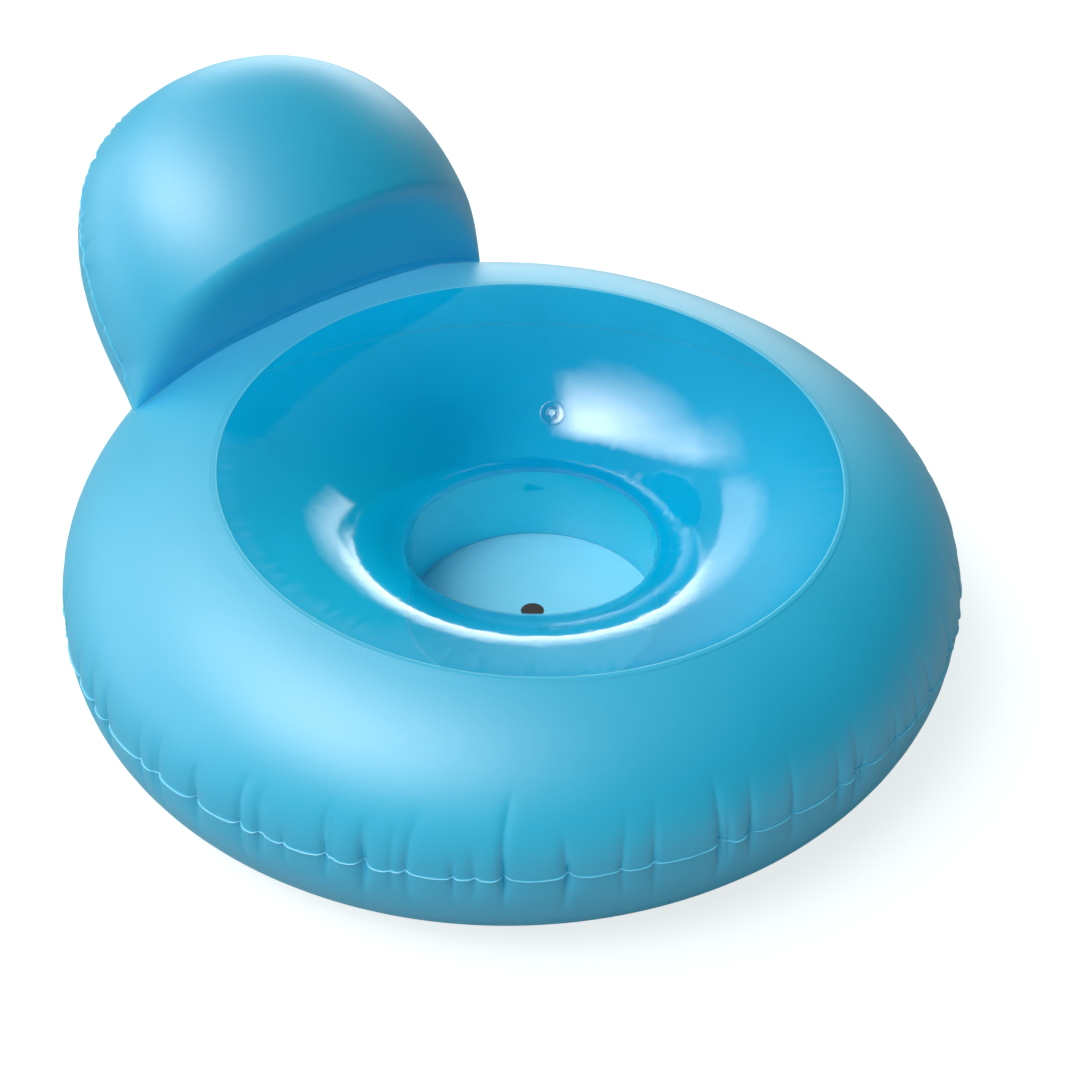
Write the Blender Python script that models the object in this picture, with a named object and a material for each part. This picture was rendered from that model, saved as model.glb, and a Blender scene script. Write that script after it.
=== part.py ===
"""Round pool lounger: an inflatable ring seat with a clear bowl and a head pillow.

The ring is one air chamber. Its skin is an opaque top panel, an opaque bottom panel, a clear
bowl wall and a clear well wall, welded edge to edge. The seat floor closes the well. The
pillow is a second air chamber, welded along its foot to the back of the ring. Each chamber
has its own push-in valve with a stem, an inner flap, a plug and the plug's strap.

The front is -Y, the pillow is at +Y and the lounger stands on z = 0. Metres throughout.
"""

import math

import bmesh
import bpy
from mathutils import Matrix, Vector
from mathutils.bvhtree import BVHTree

# Overall sizes, and the ring's plan
overall_length = 1.37
ring_radius = 0.61
rim_radius = 0.411
well_radius = 0.170
floor_radius = 0.171
bowl_forward = 0.044

# The ring's section
seam_height = 0.1676
crest_radius = 0.3165
crest_forward = 0.022
crest_height_front = 0.348
crest_height_back = 0.387
crown_fullness_front = 1.95
crown_fullness_back = 2.4
well_seam_height = 0.219
well_bulge = 0.004
floor_height = 0.105
floor_sag = 0.003
contact_outer_radius = 0.447
contact_inner_radius = 0.400
bottom_fullness = 2.2
bottom_rise_angle = math.radians(50)
drain_hole_radius = 0.016
bowl_fullness = 1.6

# Vinyl sheet and its welds
sheet_gauge = 0.0005
weld_width = 0.008
fin_height = 0.002
fin_allowance = 0.006
touch_gap = 0.0003

# Puckers where the outer seam gathers the skin
pucker_count = 64
pucker_depth = 0.007
pucker_reach_top = 0.062
pucker_reach_bottom = 0.035
pucker_kink = 0.003
pucker_wander_share = 0.24
pucker_mean_share = 0.7
pucker_swing_share = 0.3

# Pillow: its foot stands on the band between the rim and the seam, at the back
pillow_foot_band_share = 0.3154
pillow_width_share = 0.4885
pillow_thickness_share = 0.6008
pillow_tilt = math.radians(48)
pillow_fattest_share = 0.165
pillow_foot_share = 1.03
pillow_outline_fullness = 2.2
foot_half_width = 0.008
foot_spread = 0.003
foot_thickness = 0.0008
foot_gap = 0.0006
foot_rest_clearance = 0.002

# Valves, one pattern for both chambers
ring_valve_azimuth = math.radians(41.8)
ring_valve_from_rim = 0.199
pillow_valve_turn = math.radians(118)
flange_radius = 0.0175
flange_thickness = 0.0012
flange_bead = 0.0007
flange_bead_width = 0.0016
cup_radius = 0.0105
cup_wall = 0.0010
cup_depth = 0.0140
stem_radius = 0.0055
stem_bore = 0.0035
stem_head_radius = 0.0086
stem_head_thickness = 0.0020
stem_head_proud = 0.0005
stem_travel = 0.0100
stop_radius = 0.0072
stop_thickness = 0.0015
plug_cap_radius = 0.0048
plug_cap_thickness = 0.0014
plug_shank_length = 0.0042
plug_top_radius = 0.0030
plug_tip_radius = 0.0020
strap_width = 0.0030
strap_thickness = 0.0008
strap_hinge_reach = 0.0074
flap_radius = 0.0050
flap_thickness = 0.0006
slide_clearance = 0.0003

# How finely the curved sheets are faceted
ring_steps = 64
pillow_columns = 20
pillow_rows = 16
turned_steps = 20

ring_centre_y = ring_radius - overall_length / 2


def clear_scene():
    for item in list(bpy.data.objects):
        bpy.data.objects.remove(item)


def vinyl(name, colour, roughness, alpha=1.0):
    material = bpy.data.materials.new(name)
    material.use_nodes = True
    shader = material.node_tree.nodes["Principled BSDF"]
    shader.inputs["Base Color"].default_value = (*colour, 1.0)
    shader.inputs["Roughness"].default_value = roughness
    shader.inputs["Metallic"].default_value = 0.0
    shader.inputs["Alpha"].default_value = alpha
    return material


def add_object(name, bm, material):
    """Puts the bmesh into a new object of that name, with its faces pointing out."""
    mesh = bpy.data.meshes.new(name)
    bm.to_mesh(mesh)
    bm.free()
    mesh.materials.append(material)
    mesh.shade_smooth()
    mesh.set_sharp_from_angle(angle=math.radians(50))
    item = bpy.data.objects.new(name, mesh)
    bpy.context.scene.collection.objects.link(item)
    return item


def lace(bm, row_a, row_b, closed):
    """Triangles between two rows of (place along the row, vertex), which may differ in number."""
    if closed:
        row_a = row_a + [(row_a[0][0] + 2 * math.pi, row_a[0][1])]
        row_b = row_b + [(row_b[0][0] + 2 * math.pi, row_b[0][1])]
    i = j = 0
    while i < len(row_a) - 1 or j < len(row_b) - 1:
        step_b = i == len(row_a) - 1 or (
            j < len(row_b) - 1 and row_b[j + 1][0] < row_a[i + 1][0]
        )
        if step_b:
            bm.faces.new((row_a[i][1], row_b[j + 1][1], row_b[j][1]))
            j += 1
        else:
            bm.faces.new((row_a[i][1], row_a[i + 1][1], row_b[j][1]))
            i += 1


def sheet(name, rows, material, closed=True):
    """A vinyl panel through rows of (place, point). Its outer face is the one the rows are on.

    Rows run anticlockwise seen from outside, from the row at the right hand to the left."""
    bm = bmesh.new()
    laid = [[(place, bm.verts.new(point)) for place, point in row] for row in rows]
    for row_a, row_b in zip(laid, laid[1:]):
        lace(bm, row_a, row_b, closed)
    item = add_object(name, bm, material)
    thickness = item.modifiers.new("gauge", "SOLIDIFY")
    thickness.thickness = sheet_gauge
    thickness.offset = -1
    thickness.use_even_offset = False
    thickness.use_quality_normals = True
    return item


def ribbon(name, sections, material, closed=True):
    """A solid strip through a list of equal outlines, such as the cross-sections of a weld."""
    bm = bmesh.new()
    rings = [[bm.verts.new(point) for point in section] for section in sections]
    pairs = list(zip(rings, rings[1:] + rings[:1]))
    for ring_a, ring_b in pairs if closed else pairs[:-1]:
        for k in range(len(ring_a)):
            n = (k + 1) % len(ring_a)
            bm.faces.new((ring_a[k], ring_a[n], ring_b[k]))
            bm.faces.new((ring_a[n], ring_b[n], ring_b[k]))
    if not closed:
        bm.faces.new(rings[0])
        bm.faces.new(rings[-1])
    bmesh.ops.recalc_face_normals(bm, faces=bm.faces)
    return add_object(name, bm, material)


def plan(radius, azimuth, forward=0.0, height=0.0):
    """A point at that radius and azimuth about the ring's axis, or about one set forward of it."""
    return Vector(
        (
            radius * math.cos(azimuth),
            ring_centre_y - forward + radius * math.sin(azimuth),
            height,
        )
    )


skin_radius = ring_radius - fin_height


def crest_height(azimuth):
    """The tube swells from the front to the back, where the pillow stands on it."""
    share_back = (1 + math.sin(azimuth)) / 2
    return crest_height_front + (crest_height_back - crest_height_front) * share_back


def crown_height(azimuth, across_share):
    """The top skin's height at a share of the way out from the crest to the seam.

    The section is a superellipse, a little squarer behind, where the pillow props it."""
    share_back = ((1 + math.sin(azimuth)) / 2) ** 4
    full = crown_fullness_front + (crown_fullness_back - crown_fullness_front) * share_back
    rise = max(0.0, 1 - across_share**full) ** (1 / full)
    return seam_height + (crest_height(azimuth) - seam_height) * rise


def top_skin(azimuth, angle, draw_in=0.0):
    """The ring's outer skin, from the seam at angle 0 to the crest at a right angle."""
    outer = plan(skin_radius - draw_in, azimuth)
    crest = plan(crest_radius, azimuth, crest_forward)
    spot = crest.lerp(outer, math.cos(angle))
    spot.z = crown_height(azimuth, math.cos(angle))
    return spot


def across_share_at(azimuth, radius):
    """How far out from the crest the skin passes over a circle about the bowl's axis."""
    crest = plan(crest_radius, azimuth, crest_forward)
    across = (plan(radius, azimuth, bowl_forward) - crest).length
    return across / (plan(skin_radius, azimuth) - crest).length


def rim_point(azimuth, outward=0.0):
    """A point on the rim circle, or on the top panel just outside it."""
    spot = plan(rim_radius + outward, azimuth, bowl_forward)
    spot.z = crown_height(azimuth, across_share_at(azimuth, rim_radius + outward))
    return spot


def bowl_skin(azimuth, angle):
    """The clear wall, from the rim at angle 0 to the well seam at a right angle."""
    rim = rim_point(azimuth)
    run = (rim_radius - well_radius) * math.sin(angle) ** (2 / bowl_fullness)
    drop = rim.z - well_seam_height
    height = well_seam_height + drop * max(math.cos(angle), 0) ** (2 / bowl_fullness)
    return plan(rim_radius - run, azimuth, bowl_forward, height)


def bowl_angle(run):
    """The wall's angle where it has run that far in from the rim."""
    share = run / (rim_radius - well_radius)
    return math.asin(share ** (bowl_fullness / 2))


def bowl_angle_above_well(azimuth, rise):
    """The wall's angle where it still stands that far above the well seam."""
    share = rise / (rim_point(azimuth).z - well_seam_height)
    return math.acos(share ** (bowl_fullness / 2))


def even_azimuths():
    return [2 * math.pi * k / ring_steps for k in range(ring_steps)]


def puckers():
    """The seam's (azimuth, share of the pucker's depth): a valley, then the crest after it."""
    step = 2 * math.pi / pucker_count
    valleys = [
        (k + pucker_wander_share * math.sin(2.4 * k)) * step
        for k in range(pucker_count)
    ]
    places = []
    for k, valley in enumerate(valleys):
        following = valleys[k + 1] if k + 1 < pucker_count else valleys[0] + 2 * math.pi
        depth = pucker_mean_share + pucker_swing_share * math.sin(1.7 * k)
        places.append((valley, depth))
        places.append(((valley + following) / 2, 0.0))
    return places


def seam_spot(azimuth, share, outward=0.0, rise=0.0):
    """A point on the gathered outer seam, which kinks up at each pucker."""
    height = seam_height + pucker_kink * share + rise
    return plan(
        skin_radius - pucker_depth * share + outward, azimuth, height=height
    )


def fade(distance, reach):
    return max(0.0, 1 - distance / reach) ** 1.5


def ring_top_panel(material):
    """The opaque upper skin, from the gathered seam over the crown to the rim weld."""
    lift = sheet_gauge + touch_gap
    rows = [[(a, seam_spot(a, share, rise=lift)) for a, share in puckers()]]
    for angle in (0.12, 0.27):
        row = []
        for a, share in puckers():
            rise = top_skin(a, angle).z - seam_height
            left = share * fade(rise, pucker_reach_top)
            spot = top_skin(a, angle, pucker_depth * left)
            row.append((a, spot))
        rows.append(row)
    edge = weld_width / 2 + touch_gap
    for share in (0.40, 0.60, 0.80):
        row = []
        for a in even_azimuths():
            last = math.acos(across_share_at(a, rim_radius + edge))
            row.append((a, top_skin(a, last * share)))
        rows.append(row)
    rows.append([(a, rim_point(a, edge)) for a in even_azimuths()])
    return sheet("ring_top_panel", rows, material)


def ring_bottom_panel(material):
    """The opaque lower skin: a tight outer turn, the flat that stands on the ground, a rise."""
    lift = sheet_gauge + touch_gap
    rows = [[(a, seam_spot(a, share, rise=-lift)) for a, share in puckers()]]
    corner = skin_radius - contact_outer_radius
    power = 2 / bottom_fullness

    def turn(a, angle, draw_in=0.0):
        radius = contact_outer_radius + corner * math.cos(angle) ** power - draw_in
        return plan(radius, a, height=seam_height * (1 - math.sin(angle) ** power))

    row = []
    for a, share in puckers():
        left = share * fade(seam_height - turn(a, 0.15).z, pucker_reach_bottom)
        row.append((a, turn(a, 0.15, pucker_depth * left)))
    rows.append(row)
    for angle in (0.45, 0.80, 1.20):
        rows.append([(a, turn(a, angle)) for a in even_azimuths()])
    rows.append([(a, plan(contact_outer_radius, a)) for a in even_azimuths()])
    inner = floor_radius + weld_width / 2 + touch_gap
    rise = floor_height - sheet_gauge
    for share in (0.0, 0.5, 1.0):
        lifted = 1 - math.cos(bottom_rise_angle * share)
        height = rise * lifted / (1 - math.cos(bottom_rise_angle))
        radius = contact_inner_radius + (inner - contact_inner_radius) * share
        forward = bowl_forward * share
        rows.append([(a, plan(radius, a, forward, height)) for a in even_azimuths()])
    return sheet("ring_bottom_panel", rows[::-1], material)


def bowl_wall(material):
    """The clear upper wall of the bowl, crowned by the air behind it."""
    first = bowl_angle(weld_width / 2 + touch_gap)
    rows = []
    for share in (0.0, 0.16, 0.34, 0.52, 0.70, 0.86, 1.0):
        row = []
        for a in even_azimuths():
            last = bowl_angle_above_well(a, weld_width / 2 + touch_gap)
            row.append((a, bowl_skin(a, first + (last - first) * share)))
        rows.append(row)
    return sheet("bowl_wall", rows, material)


def well_wall(material):
    """The clear band between the bowl wall and the seat floor."""
    high = well_seam_height - weld_width / 2 - touch_gap
    low = floor_height + touch_gap
    rows = []
    for share in (0.0, 0.33, 0.67, 1.0):
        radius = well_radius + (floor_radius - well_radius) * share
        radius -= well_bulge * math.sin(math.pi * share)
        height = high + (low - high) * share
        rows.append(
            [(a, plan(radius, a, bowl_forward, height)) for a in even_azimuths()]
        )
    return sheet("well_wall", rows, material)


def seat_floor(material):
    """The opaque disc that closes the well, with the drain hole at its middle."""
    outer = floor_radius - weld_width / 2 - touch_gap
    rows = []
    for share in (0.0, 0.45, 1.0):
        radius = outer + (drain_hole_radius - outer) * share
        height = floor_height - floor_sag * share
        rows.append(
            [(a, plan(radius, a, bowl_forward, height)) for a in even_azimuths()[::2]]
        )
    rows[0] = [(a, plan(outer, a, bowl_forward, floor_height)) for a in even_azimuths()]
    return sheet("seat_floor", rows, material)


def outer_seam_weld(material):
    """The welded fin that joins the top and bottom panels round the outside."""
    sections = []
    for a, share in puckers():
        sections.append(
            [
                seam_spot(a, share, fin_height, sheet_gauge),
                seam_spot(a, share, fin_height, -sheet_gauge),
                seam_spot(a, share, -fin_allowance, -sheet_gauge),
                seam_spot(a, share, -fin_allowance, sheet_gauge),
            ]
        )
    return ribbon("outer_seam_weld", sections, material)


def rim_seam_weld(material):
    """The lap weld between the opaque top panel and the clear bowl wall."""
    half = weld_width / 2
    up = Vector((0, 0, sheet_gauge))
    sections = []
    for a in even_azimuths():
        outer = rim_point(a, half)
        middle = rim_point(a)
        inner = bowl_skin(a, bowl_angle(half))
        upper = [outer, middle, inner]
        sections.append(upper + [spot - 2 * up for spot in reversed(upper)])
    return ribbon("rim_seam_weld", sections, material)


def upright_weld(name, radius, height, material):
    """A band weld that stands upright round the well."""
    low = height - weld_width / 2
    high = height + weld_width / 2
    sections = []
    for a in even_azimuths():
        sections.append(
            [
                plan(radius, a, bowl_forward, low),
                plan(radius, a, bowl_forward, high),
                plan(radius + 2 * sheet_gauge, a, bowl_forward, high),
                plan(radius + 2 * sheet_gauge, a, bowl_forward, low),
            ]
        )
    return ribbon(name, sections, material)


def floor_seam_weld(material):
    """The flat ring weld where the floor, the bottom panel and the well wall meet."""
    inner = floor_radius - weld_width / 2
    outer = floor_radius + weld_width / 2
    low = floor_height - 2 * sheet_gauge
    sections = []
    for a in even_azimuths():
        sections.append(
            [
                plan(inner, a, bowl_forward, low),
                plan(outer, a, bowl_forward, low),
                plan(outer, a, bowl_forward, floor_height),
                plan(inner, a, bowl_forward, floor_height),
            ]
        )
    return ribbon("floor_seam_weld", sections, material)


def top_height(x, y):
    """The height of the ring's top skin over a point of the plan."""
    spot = Vector((x, y - ring_centre_y))
    low, high = 0.0, 1.0
    for _ in range(40):
        share = (low + high) / 2
        radius = skin_radius + (crest_radius - skin_radius) * share
        about = spot + Vector((0, crest_forward)) * share
        if about.length < radius:
            low = share
        else:
            high = share
    return crown_height(math.atan2(about.y, about.x), 1 - share)


# The pillow leans back over the ring, and its furthest point ends the overall length, so the
# length from its foot to there gives its height. It is as wide as the ring lets it be.
pillow_up = Vector((0, math.sin(pillow_tilt), math.cos(pillow_tilt)))
pillow_out = Vector((0, -math.cos(pillow_tilt), math.sin(pillow_tilt)))
back_rim = rim_radius - bowl_forward
foot_y = ring_centre_y + back_rim + pillow_foot_band_share * (ring_radius - back_rim)
reach_per_height = pillow_fattest_share * pillow_up.y + math.hypot(
    (1 - pillow_fattest_share) * pillow_up.y, pillow_thickness_share * pillow_out.y
)
pillow_height = (overall_length / 2 - foot_y) / reach_per_height
pillow_half_thickness = pillow_thickness_share * pillow_height
pillow_half_width = pillow_width_share * ring_radius
foot_top = foot_gap + foot_thickness + foot_gap


def pillow_share(turn):
    """The share of the pillow's height at a turn from 0 at the foot to pi at the top."""
    if turn < math.pi / 2:
        return pillow_fattest_share * (1 - math.cos(turn))
    return pillow_fattest_share - (1 - pillow_fattest_share) * math.cos(turn)


def pillow_half_width_at(share):
    """Half the pillow's width: drawn in a little at the foot, widest low down, round above."""
    if share > pillow_fattest_share:
        over = (share - pillow_fattest_share) / (1 - pillow_fattest_share)
        full = pillow_outline_fullness
        return pillow_half_width * max(0.0, 1 - over**full) ** (1 / full)
    under = 1 - share / pillow_fattest_share
    return pillow_half_width * (1 - (1 - pillow_foot_share) * under**2)


def pillow_middle(share, across):
    """A point of the surface midway between the two pillow panels."""
    x = pillow_half_width_at(share) * across
    foot = top_height(0, foot_y) + foot_top
    drop = top_height(0, foot_y) - top_height(x, foot_y)
    return Vector(
        (
            x,
            foot_y + pillow_height * share * pillow_up.y,
            foot + pillow_height * share * pillow_up.z - drop * (1 - share) ** 3,
        )
    )


def pillow_skin(turn, across, side):
    """A point of the front panel (side 1) or the back panel (side -1).

    across runs from -1 to 1 between the seams. The back panel lies on the ring at first."""
    swell = pillow_half_thickness * math.sin(turn) * math.sqrt(max(0, 1 - across**2))
    lean = pillow_tilt * min(1.0, turn * 8)
    out = Vector((0, -math.cos(lean), math.sin(lean)))
    edge = sheet_gauge + touch_gap + foot_spread * math.cos(turn / 2) ** 8
    spot = pillow_middle(pillow_share(turn), across) + out * side * (edge + swell)
    rest = top_height(spot.x, spot.y) + foot_top
    spot.z = max(spot.z, rest + foot_rest_clearance * min(1.0, turn * 4))
    return spot


def pillow_panel(name, side, material):
    rows = []
    for j in range(pillow_rows):
        turn = math.pi * j / pillow_rows
        row = []
        for i in range(pillow_columns + 1):
            place = math.pi * (i / pillow_columns - 0.5)
            row.append((place, pillow_skin(turn, math.sin(place) * side, side)))
        rows.append(row)
    rows.append([(0.0, pillow_skin(math.pi, 0, side))])
    return sheet(name, rows, material, closed=False)


def pillow_seam_path():
    """The seam's points from the right foot over the top to the left."""
    turns = [math.pi * (j + 1) / pillow_rows for j in range(1, pillow_rows - 1)]
    right = [pillow_middle(pillow_share(turn), 1) for turn in turns]
    top = pillow_middle(1, 0)
    return right + [top] + [Vector((-p.x, p.y, p.z)) for p in reversed(right)]


def pillow_seam_weld(material):
    """The welded fin round the pillow, between its front and back panels."""
    path = pillow_seam_path()
    sections = []
    for k, spot in enumerate(path):
        along = path[min(k + 1, len(path) - 1)] - path[max(k - 1, 0)]
        out = along.cross(pillow_out).normalized()
        if out.dot(spot - pillow_middle(pillow_fattest_share, 0)) < 0:
            out = -out
        thick = out.cross(along).normalized() * sheet_gauge
        sections.append(
            [
                spot + out * fin_height + thick,
                spot + out * fin_height - thick,
                spot - out * fin_allowance - thick,
                spot - out * fin_allowance + thick,
            ]
        )
    return ribbon("pillow_seam_weld", sections, material, closed=False)


def pillow_foot_weld(material):
    """The strip that welds the pillow's foot across the back of the ring's top panel."""
    half = pillow_half_width_at(0) + fin_height
    sections = []
    steps = 2 * pillow_columns
    for i in range(steps + 1):
        x = half * math.sin(math.pi * (i / steps - 0.5))
        section = []
        for y, above in (
            (foot_y - foot_half_width, 0),
            (foot_y + foot_half_width, 0),
            (foot_y + foot_half_width, foot_thickness),
            (foot_y - foot_half_width, foot_thickness),
        ):
            section.append(Vector((x, y, top_height(x, y) + foot_gap + above)))
        sections.append(section)
    return ribbon("pillow_foot_weld", sections, material, closed=False)


def frame_at(spot, out, sideways):
    """The matrix of a valve: z along its axis, out of the skin, and x towards sideways."""
    z = out.normalized()
    y = z.cross(sideways).normalized()
    x = y.cross(z)
    matrix = Matrix((x, y, z)).transposed().to_4x4()
    matrix.translation = spot
    return matrix


def turned(name, profile, material, place, pivot=Vector(), closed=True):
    """A piece turned from an outline of (radius, height), in the frame place.

    An open outline starts and ends on the axis. The origin goes to pivot, in that frame."""
    bm = bmesh.new()
    corners = [bm.verts.new((radius, 0, height)) for radius, height in profile]
    following = corners[1:] + corners[:1] if closed else corners[1:]
    edges = [bm.edges.new(pair) for pair in zip(corners, following)]
    bmesh.ops.spin(
        bm,
        geom=corners + edges,
        cent=(0, 0, 0),
        axis=(0, 0, 1),
        angle=2 * math.pi,
        steps=turned_steps,
        use_merge=True,
    )
    bmesh.ops.remove_doubles(bm, verts=bm.verts, dist=touch_gap / 100)
    bmesh.ops.recalc_face_normals(bm, faces=bm.faces)
    bmesh.ops.triangulate(bm, faces=bm.faces)
    item = add_object(name, bm, material)
    set_down(item, place, pivot)
    return item


def set_down(item, place, pivot):
    """Puts an item modelled in the frame place into the world, with its origin at pivot."""
    item.data.transform(Matrix.Translation(-pivot))
    item.matrix_world = place @ Matrix.Translation(pivot)


def seat_height(panel, place):
    """How far the panel's faces rise above the valve's plane under its flange."""
    mesh = panel.data
    tree = BVHTree.FromPolygons(
        [place.inverted() @ v.co for v in mesh.vertices],
        [tuple(p.vertices) for p in mesh.polygons],
    )
    highest = 0.0
    rays = 4 * turned_steps
    for share in (0.0, 0.2, 0.4, 0.6, 0.8, 1.0):
        radius = cup_radius + (flange_radius - cup_radius) * share
        for k in range(rays):
            turn = 2 * math.pi * k / rays
            start = Vector((radius * math.cos(turn), radius * math.sin(turn), radius))
            hit = tree.ray_cast(start, Vector((0, 0, -1)))[0]
            if hit is not None:
                highest = max(highest, hit.z)
    return highest


def cut_valve_hole(panel, place, name):
    """Opens the panel for the valve's cup."""
    bm = bmesh.new()
    bmesh.ops.create_cone(
        bm,
        cap_ends=True,
        segments=turned_steps,
        radius1=cup_radius + 2 * slide_clearance,
        radius2=cup_radius + 2 * slide_clearance,
        depth=2 * flange_radius,
    )
    cutter = add_object(name, bm, panel.data.materials[0])
    cutter.matrix_world = place
    cutter.hide_render = True
    cutter.display_type = "WIRE"
    cut = panel.modifiers.new("valve hole", "BOOLEAN")
    cut.operation = "DIFFERENCE"
    cut.object = cutter


def valve(chamber, panel, place, body_vinyl, fittings_vinyl):
    """A push-in valve: its flange and cup are welded to the panel, and the stem slides in them."""
    cut_valve_hole(panel, place, chamber + "_valve_cutter")
    base = seat_height(panel, place) + touch_gap
    top = base + flange_thickness
    under = base - cup_depth
    inside = cup_radius - cup_wall
    hole = stem_radius + slide_clearance
    bead_inner = flange_radius - flange_bead_width
    turned(
        chamber + "_valve_flange",
        [
            (hole, under),
            (cup_radius, under),
            (cup_radius, base),
            (flange_radius, base),
            (flange_radius, top + flange_bead),
            (bead_inner, top + flange_bead),
            (bead_inner - flange_bead, top),
            (inside, top),
            (inside, under + cup_wall),
            (hole, under + cup_wall),
        ],
        body_vinyl,
        place,
    )
    head = top + stem_head_proud
    head_low = head - stem_head_thickness
    stop = under - stem_travel - touch_gap
    end = stop - stop_thickness
    turned(
        chamber + "_valve_stem",
        [
            (stem_bore, end),
            (stop_radius, end),
            (stop_radius, stop),
            (stem_radius, stop),
            (stem_radius, head_low),
            (stem_head_radius, head_low),
            (stem_head_radius, head),
            (stem_bore, head),
        ],
        body_vinyl,
        place,
    )
    cap = head + touch_gap
    hinge = Vector((strap_hinge_reach, 0, cap + strap_thickness / 2))
    turned(
        chamber + "_valve_plug",
        [
            (0, cap - plug_shank_length),
            (plug_tip_radius, cap - plug_shank_length),
            (plug_top_radius, cap),
            (plug_cap_radius, cap),
            (plug_cap_radius, cap + plug_cap_thickness / 2),
            (plug_cap_radius - plug_cap_thickness / 2, cap + plug_cap_thickness),
            (0, cap + plug_cap_thickness),
        ],
        fittings_vinyl,
        place,
        hinge,
        closed=False,
    )
    strap(chamber + "_valve_strap", hinge, fittings_vinyl, place)
    flap(chamber + "_valve_flap", end - touch_gap, fittings_vinyl, place)


def strap(name, hinge, material, place):
    """The plug's strap: a short flat link that ends in a round bead, its hinge."""
    bead = strap_thickness / 2
    start = plug_cap_radius + touch_gap
    outline = [(start, hinge.z - bead), (hinge.x, hinge.z - bead)]
    bead_steps = 6
    for k in range(1, bead_steps):
        turn = math.pi * (k / bead_steps - 0.5)
        outline.append(
            (hinge.x + bead * math.cos(turn), hinge.z + bead * math.sin(turn))
        )
    outline += [(hinge.x, hinge.z + bead), (start, hinge.z + bead)]
    sides = (-strap_width / 2, strap_width / 2)
    sections = [[Vector((x, y, z)) for x, z in outline] for y in sides]
    set_down(ribbon(name, sections, material, closed=False), place, hinge)


def flap(name, top, material, place):
    """The check flap under the stem, hinged at one side of the bore."""
    low = top - flap_thickness
    outline = [(0, top), (flap_radius, top), (flap_radius, low), (0, low)]
    hinge = Vector((flap_radius, 0, (top + low) / 2))
    turned(name, outline, material, place, hinge, closed=False)


def bowl_valve_place():
    """The ring's valve is low on the clear wall, where a sitter can't lie on it."""
    angle = bowl_angle(ring_valve_from_rim)
    a = ring_valve_azimuth
    spot = bowl_skin(a, angle)
    down = bowl_skin(a, angle + 0.01) - bowl_skin(a, angle - 0.01)
    along = bowl_skin(a + 0.01, angle) - bowl_skin(a - 0.01, angle)
    return frame_at(spot, along.cross(down), down)


def pillow_valve_place():
    """The pillow's valve is on its back panel, on the middle line."""
    turn = pillow_valve_turn
    spot = pillow_skin(turn, 0, -1)
    up = pillow_skin(turn + 0.01, 0, -1) - pillow_skin(turn - 0.01, 0, -1)
    return frame_at(spot, up.cross(Vector((1, 0, 0))), up)


def main():
    clear_scene()
    opaque = vinyl("opaque_vinyl", (0.13, 0.50, 0.80), 0.42)
    clear = vinyl("clear_vinyl", (0.01, 0.36, 0.66), 0.08, 0.5)
    pale = vinyl("floor_vinyl", (0.15, 0.52, 0.76), 0.5)
    weld = vinyl("weld", (0.25, 0.60, 0.84), 0.3)
    fittings = vinyl("valve_vinyl", (0.30, 0.62, 0.84), 0.2)
    ring_top_panel(opaque)
    ring_bottom_panel(opaque)
    wall = bowl_wall(clear)
    well_wall(clear)
    seat_floor(pale)
    outer_seam_weld(weld)
    rim_seam_weld(weld)
    upright_weld("well_seam_weld", well_radius, well_seam_height, weld)
    floor_seam_weld(weld)
    pillow_panel("pillow_front_panel", 1, opaque)
    back = pillow_panel("pillow_back_panel", -1, opaque)
    pillow_seam_weld(weld)
    pillow_foot_weld(weld)
    valve("ring", wall, bowl_valve_place(), clear, fittings)
    valve("pillow", back, pillow_valve_place(), opaque, fittings)


main()
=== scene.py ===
import math

import bpy
import numpy as np
from mathutils import Matrix, Vector


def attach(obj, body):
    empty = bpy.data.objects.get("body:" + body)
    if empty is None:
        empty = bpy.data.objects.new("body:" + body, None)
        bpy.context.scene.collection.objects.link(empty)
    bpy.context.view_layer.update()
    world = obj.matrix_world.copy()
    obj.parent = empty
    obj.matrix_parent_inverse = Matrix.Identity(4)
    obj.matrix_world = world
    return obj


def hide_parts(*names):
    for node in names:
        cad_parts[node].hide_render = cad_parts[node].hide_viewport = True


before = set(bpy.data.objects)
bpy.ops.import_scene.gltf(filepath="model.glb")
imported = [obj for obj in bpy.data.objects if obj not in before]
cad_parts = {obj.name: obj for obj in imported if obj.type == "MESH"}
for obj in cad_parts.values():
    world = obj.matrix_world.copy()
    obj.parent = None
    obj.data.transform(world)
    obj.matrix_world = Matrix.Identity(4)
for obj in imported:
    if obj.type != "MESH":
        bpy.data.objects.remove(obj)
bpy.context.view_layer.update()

# Ring top skin. The opaque upper sheet of the ring's air chamber: half a millimetre of vinyl, cut
# as a flat annulus and gathered at its outer edge, where it is welded to the bottom sheet. The air
# pulls it tight everywhere but at that seam, so the gathers run in as short pinched grooves.
overall_length, ring_radius, ring_centre_y = 1.37, 0.61, -0.075
bowl_forward = 0.044
fin_height, fin_allowance = 0.002, 0.006
skin_radius = ring_radius - fin_height
sheet_gauge, touch_gap, weld_width = 0.0005, 0.0003, 0.008
rim_radius, seam_height = 0.411, 0.1676
crest_radius, crest_forward = 0.3165, 0.022
crest_height_front, crest_height_back = 0.348, 0.387
crown_fullness_front, crown_fullness_back = 1.95, 2.4


def plan(radius, azimuth, forward=0.0, height=0.0):
    y = ring_centre_y - forward + radius * np.sin(azimuth)
    return np.stack(np.broadcast_arrays(radius * np.cos(azimuth), y, height), axis=-1)


def crown_height(azimuth, across):
    back = (1 + np.sin(azimuth)) / 2
    crest = crest_height_front + (crest_height_back - crest_height_front) * back
    full = crown_fullness_front + (crown_fullness_back - crown_fullness_front) * back**4
    return seam_height + (crest - seam_height) * np.clip(1 - across**full, 0, 1) ** (1 / full)


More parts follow.
